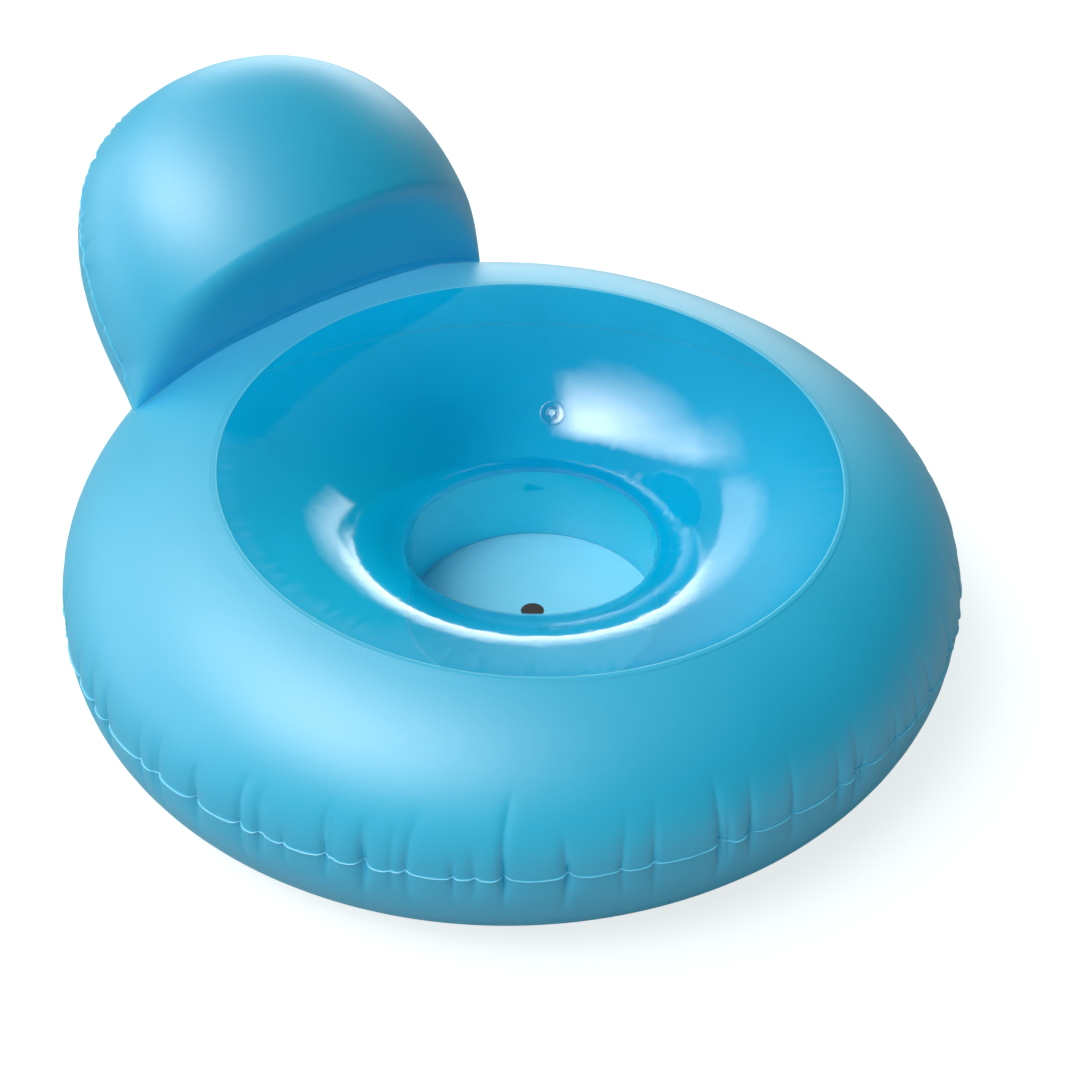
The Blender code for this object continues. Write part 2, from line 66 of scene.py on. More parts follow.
def across_share(azimuth, radius):
    crest = plan(crest_radius, azimuth, crest_forward)[..., :2]
    run = plan(radius, azimuth, bowl_forward)[..., :2] - crest
    whole = plan(skin_radius, azimuth)[..., :2] - crest
    return np.hypot(run[..., 0], run[..., 1]) / np.hypot(whole[..., 0], whole[..., 1])


def rim_spot(azimuth, outward=0.0):
    spot = plan(rim_radius + outward, azimuth, bowl_forward)
    spot[..., 2] = crown_height(azimuth, across_share(azimuth, rim_radius + outward))
    return spot


# The gathers: a deep one at every pleat of the cut, and slighter ones at random between them.
chance = np.random.default_rng(41)
pleats, between = 64, 52
pleat_wander, pleat_mean, pleat_swing = 0.24, 0.7, 0.3
pleat = np.arange(pleats)
pleat_at = (pleat + pleat_wander * np.sin(2.4 * pleat)) * (2 * np.pi / pleats)
pleat_share = pleat_mean + pleat_swing * np.sin(1.7 * pleat)
pleat_depth, pleat_pull, pleat_kink, gather_kink = 0.0080, 0.0036, 0.0010, 0.42
pleat_reach_top, pleat_reach_bottom = 0.062, 0.045
kink_width, kink_reach_top, kink_reach_bottom = 0.007, 0.05, 0.03


def at_each_gather(for_pleats, for_others):
    """Random values for the pleats and for the gathers between them, each in its own range."""
    return np.concatenate([chance.uniform(*for_pleats, pleats), chance.uniform(*for_others, between)])


gather_at = np.concatenate([pleat_at, chance.uniform(0, 2 * np.pi, between)])
gather_depth = np.concatenate([pleat_depth * pleat_share, chance.uniform(0.0016, 0.0054, between)])
gather_width = at_each_gather((0.0032, 0.0050), (0.0028, 0.0042))
gather_up = at_each_gather((0.050, 0.115), (0.03, 0.085))
gather_down = at_each_gather((0.035, 0.070), (0.02, 0.05))
gather_lean = chance.normal(0, 0.06, pleats + between)


def wrapped(angle):
    return (angle + np.pi) % (2 * np.pi) - np.pi


def pleat_share_at(azimuth):
    """How deep the broad hollow of the nearest pleat is there, round-topped between two pleats."""
    edges = np.concatenate([pleat_at[-1:] - 2 * np.pi, pleat_at, pleat_at[:1] + 2 * np.pi])
    depths = np.concatenate([pleat_share[-1:], pleat_share, pleat_share[:1]])
    along = (azimuth - edges[1]) % (2 * np.pi) + edges[1]
    k = np.clip(np.searchsorted(edges, along, side="right") - 1, 0, len(edges) - 2)
    way = (along - edges[k]) / (edges[k + 1] - edges[k])
    near = np.where(way < 0.5, depths[k], depths[k + 1])
    return near * (1 - np.sin(np.pi * np.minimum(way, 1 - way)))


def gathered(azimuth, distance, reaches, broad_reach):
    """How far the gathers draw the sheet in, at that distance from the outer seam."""
    furthest, widening = 0.08, 0.03
    pull = pleat_pull * pleat_share_at(azimuth) * np.clip(1 - distance / broad_reach, 0, 1) ** 1.5
    for at, depth, width, reach, lean in zip(gather_at, gather_depth, gather_width, reaches, gather_lean):
        aside = wrapped(azimuth - at) * ring_radius - lean * distance
        near = (np.abs(aside) < furthest) & (distance < reach)
        left = (1 - distance[near] / reach) ** 1.1
        wide = width + widening * distance[near]
        pull[near] += depth * left * np.exp(-((np.abs(aside[near]) / wide) ** 1.2))
    return pull


def skin(name, columns, rows, place, relief=None, closed=True, lined=False):
    """A grid laid over place(u, v), with u once round and v across. One that doesn't close on itself
    is then given the sheet's thickness. The inner side of a lined sheet takes its second material."""
    bpy.ops.object.select_all(action="DESELECT")
    bpy.ops.mesh.primitive_grid_add(x_subdivisions=columns, y_subdivisions=rows, size=1)
    piece = bpy.context.active_object
    piece.name = piece.data.name = name
    flat = np.empty(len(piece.data.vertices) * 3, dtype=np.float32)
    piece.data.vertices.foreach_get("co", flat)
    u, v = flat.reshape(-1, 3)[:, :2].astype(float).T + 0.5
    spots = place(u, v)
    if relief is not None:
        step = 1e-4
        back = np.where(v > 0.5, -1.0, 1.0)
        along = place(u + step, v) - spots
        across = (place(u, v + back * step) - spots) * back[:, None]
        out = np.cross(along, across)
        out /= np.maximum(np.linalg.norm(out, axis=1, keepdims=True), 1e-12)
        spots = spots + out * relief(u, v, spots)[:, None]
    piece.data.vertices.foreach_set("co", spots.astype(np.float32).ravel())
    piece.data.update()
    bpy.ops.object.mode_set(mode="EDIT")
    bpy.ops.mesh.select_all(action="SELECT")
    bpy.ops.mesh.remove_doubles(threshold=1e-5)
    if closed:
        bpy.ops.mesh.normals_make_consistent(inside=False)
    bpy.ops.object.mode_set(mode="OBJECT")
    if not closed:
        faces = len(piece.data.polygons)
        wall = piece.modifiers.new("gauge", "SOLIDIFY")
        wall.thickness = sheet_gauge
        wall.offset = -1
        wall.use_even_offset = False
        bpy.ops.object.modifier_apply(modifier=wall.name)
        sides = np.zeros(len(piece.data.polygons), dtype=np.int32)
        sides[faces : 2 * faces] = int(lined)
        piece.data.polygons.foreach_set("material_index", sides)
    bpy.ops.object.shade_smooth_by_angle(angle=math.radians(50))
    return piece


def crown_spot(azimuth, angle):
    outer, crest = plan(skin_radius, azimuth), plan(crest_radius, azimuth, crest_forward)
    spot = crest + (outer - crest) * np.cos(angle)[:, None]
    spot[:, 2] = crown_height(azimuth, np.cos(angle))
    return spot


def top_spot(u, v):
    """The rows run about the ring's axis at the seam and come round to the bowl's at the rim."""
    azimuth = 2 * np.pi * u
    edge = weld_width / 2 + touch_gap
    even, crowded, turning_from = 0.30, 0.70, 0.3
    last = np.arccos(across_share(azimuth, rim_radius + edge))
    spot = crown_spot(azimuth, last * (even * v + crowded * v**1.7))
    aside = rim_spot(azimuth, edge) - crown_spot(azimuth, last)
    share = np.clip((v - turning_from) / (1 - turning_from), 0, 1)
    spot += aside * (share**2 * (3 - 2 * share))[:, None]
    spot[:, 2] += (sheet_gauge + touch_gap) * (1 - v)
    return spot


def top_relief(u, v, spots):
    azimuth = 2 * np.pi * u
    inward = skin_radius - np.hypot(spots[:, 0], spots[:, 1] - ring_centre_y)
    distance = np.hypot(inward, spots[:, 2] - seam_height)
    distance[v < 1e-6] = 0
    slack = 0.0005 * np.sin(9 * azimuth + 3 * np.sin(4 * azimuth)) * np.sin(np.pi * v)
    return slack - gathered(azimuth, distance, gather_up, pleat_reach_top)


def seam_kink(u, distance, reach):
    """How much the seam's upward kinks lift the sheet next to them."""
    azimuth = 2 * np.pi * u
    lift = pleat_kink * pleat_share_at(azimuth)
    for at, depth in zip(gather_at, gather_depth):
        aside = np.abs(wrapped(azimuth - at)) * ring_radius
        lift += gather_kink * depth * np.exp(-aside / kink_width)
    return lift * np.clip(1 - distance / reach, 0, 1) ** 2


def top_place(u, v):
    spot = top_spot(u, v)
    spot[:, 2] += seam_kink(u, spot[:, 2] - seam_height, kink_reach_top)
    return spot


ring_top = skin("ring_top_skin", 1536, 30, top_place, top_relief, closed=False, lined=True)
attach(ring_top, "lounger")
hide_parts("ring_top_panel")


# The vinyl's own surface, which every sheet and weld shares: a faint orange peel from the roller,
# a slow unevenness of the pigment, and a few pale specks of dust.
grain = bpy.data.node_groups.new("vinyl_grain", "ShaderNodeTree")
for label, kind, way in (
    ("Color", "NodeSocketColor", "INPUT"),
    ("Roughness", "NodeSocketFloat", "INPUT"),
    ("Unevenness", "NodeSocketFloat", "INPUT"),
    ("Dust", "NodeSocketFloat", "INPUT"),
    ("Color", "NodeSocketColor", "OUTPUT"),
    ("Roughness", "NodeSocketFloat", "OUTPUT"),
    ("Height", "NodeSocketFloat", "OUTPUT"),
):
    grain.interface.new_socket(label, in_out=way, socket_type=kind)
entry, leave = grain.nodes.new("NodeGroupInput"), grain.nodes.new("NodeGroupOutput")
spot_on = grain.nodes.new("ShaderNodeTexCoord")


def noise(tree, source, scale, detail=2.0, rough=0.5):
    node = tree.nodes.new("ShaderNodeTexNoise")
    node.inputs["Scale"].default_value = scale
    node.inputs["Detail"].default_value = detail
    node.inputs["Roughness"].default_value = rough
    tree.links.new(source, node.inputs["Vector"])
    return node.outputs["Fac"]


def ranged(tree, source, low, high, to_low, to_high):
    node = tree.nodes.new("ShaderNodeMapRange")
    for label, value in (("From Min", low), ("From Max", high), ("To Min", to_low), ("To Max", to_high)):
        node.inputs[label].default_value = value
    tree.links.new(source, node.inputs["Value"])
    return node.outputs["Result"]


def reckon(tree, operation, first, second):
    node = tree.nodes.new("ShaderNodeMath")
    node.operation = operation
    for socket, value in zip(node.inputs, (first, second)):
        if isinstance(value, (int, float)):
            socket.default_value = value
        else:
            tree.links.new(value, socket)
    return node.outputs[0]


slow = noise(grain, spot_on.outputs["Object"], 5.0, 3.0)
peel = noise(grain, spot_on.outputs["Object"], 700.0, 1.0)
waves = noise(grain, spot_on.outputs["Object"], 38.0, 2.0)
specks = ranged(grain, noise(grain, spot_on.outputs["Object"], 420.0, 2.0, 0.7), 0.74, 0.80, 0.0, 1.0)
tone = grain.nodes.new("ShaderNodeHueSaturation")
shift = reckon(grain, "MULTIPLY", reckon(grain, "SUBTRACT", slow, 0.5), entry.outputs["Unevenness"])
grain.links.new(reckon(grain, "ADD", shift, 1.0), tone.inputs["Value"])
grain.links.new(entry.outputs["Color"], tone.inputs["Color"])
dusty = grain.nodes.new("ShaderNodeMix")
dusty.data_type = "RGBA"
grain.links.new(reckon(grain, "MULTIPLY", specks, entry.outputs["Dust"]), dusty.inputs["Factor"])
grain.links.new(tone.outputs["Color"], dusty.inputs["A"])
dusty.inputs["B"].default_value = (0.75, 0.80, 0.82, 1)
grain.links.new(dusty.outputs["Result"], leave.inputs["Color"])
rougher = reckon(grain, "MULTIPLY", reckon(grain, "SUBTRACT", slow, 0.5), 0.12)
grain.links.new(reckon(grain, "ADD", entry.outputs["Roughness"], rougher), leave.inputs["Roughness"])
height = reckon(grain, "ADD", reckon(grain, "MULTIPLY", peel, 0.05), waves)
grain.links.new(height, leave.inputs["Height"])


def vinyl(name, colour, roughness, coat, coat_roughness, bump, dust=0.15, unevenness=0.10):
    material = bpy.data.materials.new(name)
    material.use_nodes = True
    tree = material.node_tree
    shader = tree.nodes["Principled BSDF"]
    surface = tree.nodes.new("ShaderNodeGroup")
    surface.node_tree = grain
    surface.inputs["Color"].default_value = (*colour, 1)
    surface.inputs["Roughness"].default_value = roughness
    surface.inputs["Unevenness"].default_value = unevenness
    surface.inputs["Dust"].default_value = dust
    tree.links.new(surface.outputs["Color"], shader.inputs["Base Color"])
    tree.links.new(surface.outputs["Roughness"], shader.inputs["Roughness"])
    relief = tree.nodes.new("ShaderNodeBump")
    relief.inputs["Distance"].default_value = bump
    tree.links.new(surface.outputs["Height"], relief.inputs["Height"])
    tree.links.new(relief.outputs["Normal"], shader.inputs["Normal"])
    shader.inputs["Coat Weight"].default_value = coat
    shader.inputs["Coat Roughness"].default_value = coat_roughness
    shader.inputs["Coat IOR"].default_value = 2.0
    shader.inputs["IOR"].default_value = 1.7
    return material


# Painted light: the chamber's inner faces are the same vinyl as outside, painted a lighter blue for the
# little light that reaches inside.
sheet_blue, painted_light_inside_blue = (0.0, 0.45, 0.69), (0.0, 0.62, 0.93)
opaque_vinyl = vinyl("opaque_vinyl", sheet_blue, 0.50, 1.0, 0.50, 0.0006)
chamber_inside = vinyl("chamber_inside", painted_light_inside_blue, 0.50, 0.0, 0.3, 0.0004, dust=0.0)
ring_top.data.materials.append(opaque_vinyl)
ring_top.data.materials.append(chamber_inside)


# Ring bottom skin. The opaque lower sheet: a tight turn under the outer seam, a flat that stands
# on the ground, and a slow rise to the weld under the seat floor. Its gathers are shorter.
contact_outer, contact_inner = 0.447, 0.400
bottom_fullness, bottom_rise_angle = 2.2, math.radians(50)
floor_radius, floor_height, floor_sag = 0.171, 0.105, 0.003
rise_share, flat_share = 0.34, 0.40


def bottom_place(u, v):
    azimuth = 2 * np.pi * u
    angle = np.clip((1 - v) / (1 - flat_share), 0, 1) ** 1.3 * np.pi / 2
    power = 2 / bottom_fullness
    below_fin = (sheet_gauge + touch_gap) * np.clip(v * 3 - 2, 0, 1)
    curled = plan(
        contact_outer + (skin_radius - contact_outer) * np.cos(angle) ** power,
        azimuth,
        height=seam_height * (1 - np.sin(angle) ** power) - below_fin,
    )
    reach = np.clip((v - rise_share) / (flat_share - rise_share), 0, 1)
    flat = plan(contact_inner + (contact_outer - contact_inner) * reach, azimuth)
    share = np.clip(1 - v / rise_share, 0, 1)
    inner = floor_radius + weld_width / 2 + touch_gap
    lifted = (1 - np.cos(bottom_rise_angle * share)) / (1 - math.cos(bottom_rise_angle))
    risen = plan(
        contact_inner + (inner - contact_inner) * share,
        azimuth,
        bowl_forward * share,
        (floor_height - sheet_gauge) * lifted,
    )
    spot = np.where((v > flat_share)[:, None], curled, np.where((v > rise_share)[:, None], flat, risen))
    spot[:, 2] += seam_kink(u, seam_height - spot[:, 2], kink_reach_bottom) * (v > 0.8)
    return spot


def bottom_relief(u, v, spots):
    inward = skin_radius - np.hypot(spots[:, 0], spots[:, 1] - ring_centre_y)
    distance = np.hypot(inward, seam_height - spots[:, 2])
    distance[v > 1 - 1e-6] = 0
    return -gathered(2 * np.pi * u, distance, gather_down, pleat_reach_bottom) * (v > flat_share + 0.05)


ring_bottom = skin("ring_bottom_skin", 1536, 30, bottom_place, bottom_relief, closed=False, lined=True)
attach(ring_bottom, "lounger")
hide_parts("ring_bottom_panel")
ring_bottom.data.materials.append(opaque_vinyl)
# Painted light: the chamber's floor glows, most of all near the well, standing in for the light that
# comes through the pale sheets.
chamber_floor = vinyl("chamber_floor", painted_light_inside_blue, 0.50, 0.0, 0.3, 0.0004, dust=0.0)
tree = chamber_floor.node_tree
spot = tree.nodes.new("ShaderNodeTexCoord")
from_middle = tree.nodes.new("ShaderNodeVectorMath")
from_middle.operation = "DISTANCE"
from_middle.inputs[1].default_value = (0.0, 0.20, 0.06)
tree.links.new(spot.outputs["Object"], from_middle.inputs[0])
painted_daylight_glow = tree.nodes.new("ShaderNodeMix")
painted_daylight_glow.data_type = "RGBA"
painted_daylight_glow.inputs["A"].default_value = (0.0, 0.62, 0.66, 1)
painted_daylight_glow.inputs["B"].default_value = (0.0, 0.0, 0.0, 1)
fading = ranged(tree, from_middle.outputs["Value"], 0.16, 0.34, 0.0, 1.0)
tree.links.new(fading, painted_daylight_glow.inputs["Factor"])
inside_shader = tree.nodes["Principled BSDF"]
tree.links.new(painted_daylight_glow.outputs["Result"], inside_shader.inputs["Emission Color"])
inside_shader.inputs["Emission Strength"].default_value = 0.40
ring_bottom.data.materials.append(chamber_floor)


# Outer seam. A narrow fin of both sheets pressed and welded together, trimmed by hand, which
# follows the gathers in and out and kinks up at each pleat. The weld is paler than the sheet.
def seam_line(u, outward, rise):
    azimuth = 2 * np.pi * u
    pull = gathered(azimuth, np.zeros_like(azimuth), gather_up, pleat_reach_top)
    spot = plan(skin_radius - pull + outward, azimuth, height=seam_height + rise)
    spot[:, 2] += seam_kink(u, np.zeros_like(u), 1.0)
    return spot


# The fin's outline, as shares of its reach and of the sheet's gauge.
fin_section = np.array([
    (-1, -1), (0.0, -1), (0.62, -1), (0.92, -0.6), (1, 0),
    (0.92, 0.6), (0.62, 1), (0.0, 1), (-1, 1), (-1, -1),
])


def fin_place(u, v):
    k = np.rint(v * (len(fin_section) - 1)).astype(int)
    out, up = fin_section[k, 0], fin_section[k, 1]
    trim = 1 + 0.15 * np.sin(2 * np.pi * 37 * u) + 0.10 * np.sin(2 * np.pi * 101 * u + 1)
    return seam_line(u, np.where(out < 0, fin_allowance, fin_height * trim) * out, up * sheet_gauge)


outer_seam = skin("outer_seam_fin", 1536, len(fin_section) - 1, fin_place)
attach(outer_seam, "lounger")
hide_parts("outer_seam_weld")
weld_vinyl = vinyl("weld_vinyl", (0.22, 0.66, 0.85), 0.35, 0.4, 0.15, 0.0003, dust=0.05)
outer_seam.data.materials.append(weld_vinyl)


# Bowl wall. Clear blue film, the inner wall of the ring's chamber. The air crowns it, and it
# wrinkles finely where it is welded to the top sheet and, more, round the smaller well seam.
well_radius, well_seam_height, bowl_fullness = 0.170, 0.219, 1.6


def film_angle(run):
    return np.arcsin((run / (rim_radius - well_radius)) ** (bowl_fullness / 2))


def bowl_spot(azimuth, angle):
    run = (rim_radius - well_radius) * np.clip(np.sin(angle), 0, 1) ** (2 / bowl_fullness)
    drop = rim_spot(azimuth)[..., 2] - well_seam_height
    height = well_seam_height + drop * np.clip(np.cos(angle), 0, 1) ** (2 / bowl_fullness)
    return plan(rim_radius - run, azimuth, bowl_forward, height)


def bowl_place(u, v):
    azimuth = 2 * np.pi * u
    first = film_angle(weld_width / 2 + touch_gap)
    drop = rim_spot(azimuth)[:, 2] - well_seam_height
    last = np.arccos(((weld_width / 2 + touch_gap) / drop) ** (bowl_fullness / 2))
    return bowl_spot(azimuth, first + (last - first) * v)


def wrinkles(count, seed):
    """Fine creases that start at a weld: where each is, its depth, its width and its length."""
    pick = np.random.default_rng(seed)
    return (
        pick.uniform(0, 2 * np.pi, count),
        pick.uniform(0.2, 1.0, count) * np.where(pick.uniform(0, 1, count) < 0.5, -1, 1),
        pick.uniform(0.6, 1.5, count),
        pick.uniform(0.35, 1.0, count),
    )


def creased(azimuth, distance, radius, creases, depth, width, reach):
    rise = np.zeros_like(azimuth)
    for at, strength, wide, long in zip(*creases):
        aside = wrapped(azimuth - at) * radius
        near = (np.abs(aside) < 5 * width) & (distance < reach * long)
        left = (1 - distance[near] / (reach * long)) ** 1.5
        rise[near] += depth * strength * left * np.exp(-((aside[near] / (wide * width)) ** 2))
    return rise


rim_creases, well_creases = wrinkles(260, 5), wrinkles(170, 6)


def bowl_relief(u, v, spots):
    azimuth = 2 * np.pi * u
    radius = np.hypot(spots[:, 0], spots[:, 1] - ring_centre_y + bowl_forward)
    from_rim = rim_radius - radius
    from_well = np.hypot(radius - well_radius, spots[:, 2] - well_seam_height)
    rise = creased(azimuth, from_rim, rim_radius, rim_creases, 0.0005, 0.0045, 0.075)
    rise += creased(azimuth, from_well, well_radius, well_creases, 0.0008, 0.0032, 0.085)
    return rise * np.minimum(1, 8 * np.minimum(v, 1 - v))


bowl_film = skin("bowl_film", 800, 56, bowl_place, bowl_relief, closed=False)
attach(bowl_film, "lounger")
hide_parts("bowl_wall")


def film(name, colour, alpha, edge_alpha):
    """Clear tinted film: it hides more of what is behind it the more it is seen edge on."""
    material = bpy.data.materials.new(name)
    material.use_nodes = True
    tree = material.node_tree
    shader = tree.nodes["Principled BSDF"]
    place = tree.nodes.new("ShaderNodeTexCoord").outputs["Object"]
    tint = tree.nodes.new("ShaderNodeHueSaturation")
    tint.inputs["Color"].default_value = (*colour, 1)
    clouds, smears = noise(tree, place, 6.0, 3.0), noise(tree, place, 24.0, 3.0)
    tree.links.new(ranged(tree, clouds, 0.3, 0.7, 0.94, 1.06), tint.inputs["Value"])
    tree.links.new(tint.outputs["Color"], shader.inputs["Base Color"])
    tree.links.new(ranged(tree, smears, 0.3, 0.7, 0.05, 0.09), shader.inputs["Roughness"])
    relief = tree.nodes.new("ShaderNodeBump")
    relief.inputs["Distance"].default_value = 0.0006
    tree.links.new(noise(tree, place, 30.0, 2.0), relief.inputs["Height"])
    tree.links.new(relief.outputs["Normal"], shader.inputs["Normal"])
    shader.inputs["Coat Weight"].default_value = 1.0
    shader.inputs["Coat Roughness"].default_value = 0.04
    shader.inputs["Coat IOR"].default_value = 1.8
    shader.inputs["IOR"].default_value = 2.2
    edge = tree.nodes.new("ShaderNodeLayerWeight")
    edge.inputs["Blend"].default_value = 0.5
    cover = ranged(tree, edge.outputs["Facing"], 0.2, 1.0, alpha, edge_alpha)
    tree.links.new(cover, shader.inputs["Alpha"])
    return material


clear_vinyl = film("clear_vinyl", (0.0, 0.66, 1.0), 0.32, 0.55)
bowl_film.data.materials.append(clear_vinyl)


# Rim weld. The clear film is lapped under the top sheet and the two are welded in a narrow band,
# pressed by a ribbed tool that leaves two fine raised lines.
rim_rise = np.array([0.0, 0.0001, 0.0002, 0.0001, 0.0, 0.0001, 0.0003, 0.0004, 0.0002])
rim_out = np.array([1.0, 0.85, 0.62, 0.38, 0.0, -0.38, -0.62, -0.85, -1.0])
rim_rows = 2 * len(rim_out)
pale_beyond = -0.62


def rim_weld_place(u, v):
    azimuth = 2 * np.pi * u
    k = np.rint(v * rim_rows).astype(int) % rim_rows
    lower = k >= len(rim_out)
    k = np.where(lower, rim_rows - 1 - k, k)
    out = rim_out[k] * weld_width / 2
    on_top = rim_spot(azimuth, np.maximum(out, 0))
    in_bowl = bowl_spot(azimuth, film_angle(np.maximum(-out, 0)))
    spot = np.where((out >= 0)[:, None], on_top, in_bowl)
    spot[:, 2] += np.where(lower, -2 * sheet_gauge, rim_rise[k])
    return spot


rim_weld = skin("rim_weld_band", 768, rim_rows, rim_weld_place)
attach(rim_weld, "lounger")
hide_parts("rim_seam_weld")
rim_weld.data.materials.append(opaque_vinyl)
rim_weld.data.materials.append(weld_vinyl)
for face in rim_weld.data.polygons:
    about = math.hypot(face.center.x, face.center.y - ring_centre_y + bowl_forward) - rim_radius
    face.material_index = int(about < pale_beyond * weld_width / 2)


# Well. A band of the same clear film joins the bowl wall to the seat floor. Its upper weld is a
# narrow upright band, and its lower one is a flat ring that also holds the bottom sheet.
well_bulge = 0.004


def well_place(u, v):
    azimuth = 2 * np.pi * u
    radius = well_radius + (floor_radius - well_radius) * v - well_bulge * np.sin(np.pi * v)
    high = well_seam_height - weld_width / 2 - touch_gap
    return plan(radius, azimuth, bowl_forward, high + (floor_height + touch_gap - high) * v)


def well_relief(u, v, spots):
    azimuth = 2 * np.pi * u
    down = well_seam_height - spots[:, 2]
    rise = creased(azimuth, down, well_radius, well_creases, 0.0006, 0.0040, 0.070)
    return rise * np.minimum(1, 8 * np.minimum(v, 1 - v))


well_film = skin("well_film", 480, 24, well_place, well_relief, closed=False)
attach(well_film, "lounger")
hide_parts("well_wall")
well_vinyl = film("well_vinyl", (0.0, 0.78, 1.0), 0.50, 0.75)
well_vinyl.node_tree.nodes["Principled BSDF"].inputs["Coat Weight"].default_value = 0.3
well_film.data.materials.append(well_vinyl)


def band(name, corners):
    """A band of that section, as (radius, height) corners, round the bowl's axis."""

    def place(u, v):
        k = np.rint(v * len(corners)).astype(int) % len(corners)
        section = np.array(corners)[k]
        return plan(section[:, 0], 2 * np.pi * u, bowl_forward, section[:, 1])

    return skin(name, 360, len(corners), place)


half, thick, rib = weld_width / 2, 2 * sheet_gauge, 0.0004
rib_edges = half * 0.7, half * 0.4, half * 0.15
well_weld = band(
    "well_weld_band",
    [
        (well_radius, well_seam_height - half),
        (well_radius - rib / 2, well_seam_height - rib_edges[0]),
        (well_radius - rib, well_seam_height - rib_edges[1]),
        (well_radius, well_seam_height - rib_edges[2]),
        (well_radius, well_seam_height + rib_edges[2]),
        (well_radius - rib, well_seam_height + rib_edges[1]),
        (well_radius - rib / 2, well_seam_height + rib_edges[0]),
        (well_radius, well_seam_height + half),
        (well_radius + thick, well_seam_height + half),
        (well_radius + thick, well_seam_height - half),
    ],
)
floor_weld = band(
    "floor_weld_ring",
    [
        (floor_radius - half, floor_height - thick),
        (floor_radius + half, floor_height - thick),
        (floor_radius + half, floor_height),
        (floor_radius + rib_edges[0], floor_height + rib / 2),
        (floor_radius + rib_edges[1], floor_height + rib / 2),
        (floor_radius + rib_edges[2], floor_height),
        (floor_radius - rib_edges[2], floor_height),
        (floor_radius - rib_edges[1], floor_height + rib),
        (floor_radius - rib_edges[0], floor_height + rib),
        (floor_radius - half, floor_height),
    ],
)
clear_weld = film("clear_weld", (0.03, 0.60, 0.96), 0.30, 0.6)
floor_vinyl = vinyl("floor_vinyl", (0.28, 0.72, 0.90), 0.40, 0.2, 0.2, 0.0005)
for piece, node, made_of in (
    (well_weld, "well_seam_weld", clear_weld),
    (floor_weld, "floor_seam_weld", floor_vinyl),
):
    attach(piece, "lounger")
    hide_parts(node)
    piece.data.materials.append(made_of)


# Seat floor. An opaque disc of heavier vinyl with a drain hole at its middle. It hangs slightly
# slack from the weld round it, so a few low waves run in from the edge.
drain_radius = 0.016


def floor_place(u, v):
    outer = floor_radius - half - touch_gap
    radius = outer + (drain_radius - outer) * v
    return plan(radius, 2 * np.pi * u, bowl_forward, floor_height - floor_sag * v)


floor_creases = wrinkles(36, 9)


def floor_relief(u, v, spots):
    rise = creased(2 * np.pi * u, v * floor_radius, floor_radius, floor_creases, 0.0008, 0.010, 0.09)
    return rise * np.minimum(1, 10 * v)


seat_floor = skin("seat_floor_disc", 256, 40, floor_place, floor_relief, closed=False)
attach(seat_floor, "lounger")
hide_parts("seat_floor")
seat_floor.data.materials.append(floor_vinyl)


# Head pillow. Its own air chamber, of two opaque sheets welded round their edge and along the
# foot. Blown up tight it is nearly round from front to back, with the seam drawn in by gathers.
pillow_height, pillow_half_width, pillow_half_thickness = 0.367, 0.298, 0.2205
pillow_tilt = math.radians(48)
pillow_fattest, pillow_foot_share, pillow_fullness, heart_share = 0.165, 1.03, 2.2, 0.42
foot_gap, foot_thickness, foot_half_width, foot_spread = 0.0006, 0.0008, 0.008, 0.003
foot_clearance = 0.002
pillow_up = np.array([0, math.sin(pillow_tilt), math.cos(pillow_tilt)])
pillow_back = math.hypot(
    (1 - pillow_fattest) * pillow_height * pillow_up[1],
    pillow_half_thickness * math.cos(pillow_tilt),
)
foot_y = overall_length / 2 - pillow_fattest * pillow_height * pillow_up[1] - pillow_back
foot_top = foot_gap + foot_thickness + foot_gap


def ring_height(x, y):
    """The height of the ring's top skin over a spot of the plan."""
    low, high = np.zeros_like(x), np.ones_like(x)
    for _ in range(30):
        share = (low + high) / 2
        about = np.hypot(x, y - ring_centre_y + crest_forward * share)
        inside = about < skin_radius + (crest_radius - skin_radius) * share
        low, high = np.where(inside, share, low), np.where(inside, high, share)
    azimuth = np.arctan2(y - ring_centre_y + crest_forward * low, x)
    return crown_height(azimuth, 1 - low)


foot_z = float(ring_height(np.array([0.0]), np.array([foot_y]))[0])


def pillow_half_width_at(share):
    over = np.clip((share - pillow_fattest) / (1 - pillow_fattest), 0, 1)
    under = np.clip(1 - share / pillow_fattest, 0, 1)
    above = np.clip(1 - over**pillow_fullness, 0, 1) ** (1 / pillow_fullness)
    below = 1 - (1 - pillow_foot_share) * under**2
    return pillow_half_width * np.where(share > pillow_fattest, above, below)


def pillow_middle(share, x):
    drop = foot_z - ring_height(x, np.full_like(x, foot_y))
    height = foot_z + foot_top + pillow_height * share * pillow_up[2] - drop * (1 - share) ** 3
    return np.stack([x, foot_y + pillow_height * share * pillow_up[1], height], axis=-1)


def share_at(turn):
    low = pillow_fattest * (1 - np.cos(turn))
    return np.where(turn < np.pi / 2, low, pillow_fattest - (1 - pillow_fattest) * np.cos(turn))


# The outline as a line of places along the seam, from the right foot over the top to the left.
steps = 400
outline_turn = np.concatenate([np.linspace(0, np.pi, steps), np.linspace(np.pi, 0, steps)[1:]])
outline_side = np.concatenate([np.ones(steps), -np.ones(steps - 1)])
outline_x = pillow_half_width_at(share_at(outline_turn)) * outline_side
outline_up = pillow_height * share_at(outline_turn)
outline_run = np.concatenate([[0], np.cumsum(np.hypot(np.diff(outline_x), np.diff(outline_up)))])
pillow_chance = np.random.default_rng(12)
tucks = 72
tuck_at = (np.arange(tucks) + 0.5 + pillow_chance.uniform(-0.3, 0.3, tucks)) * outline_run[-1] / tucks
tuck_depth = pillow_chance.uniform(0.0010, 0.0046, tucks)
tuck_width = pillow_chance.uniform(0.003, 0.006, tucks)
tuck_reach = pillow_chance.uniform(0.030, 0.085, tucks)
tuck_lean = pillow_chance.normal(0, 0.15, tucks)


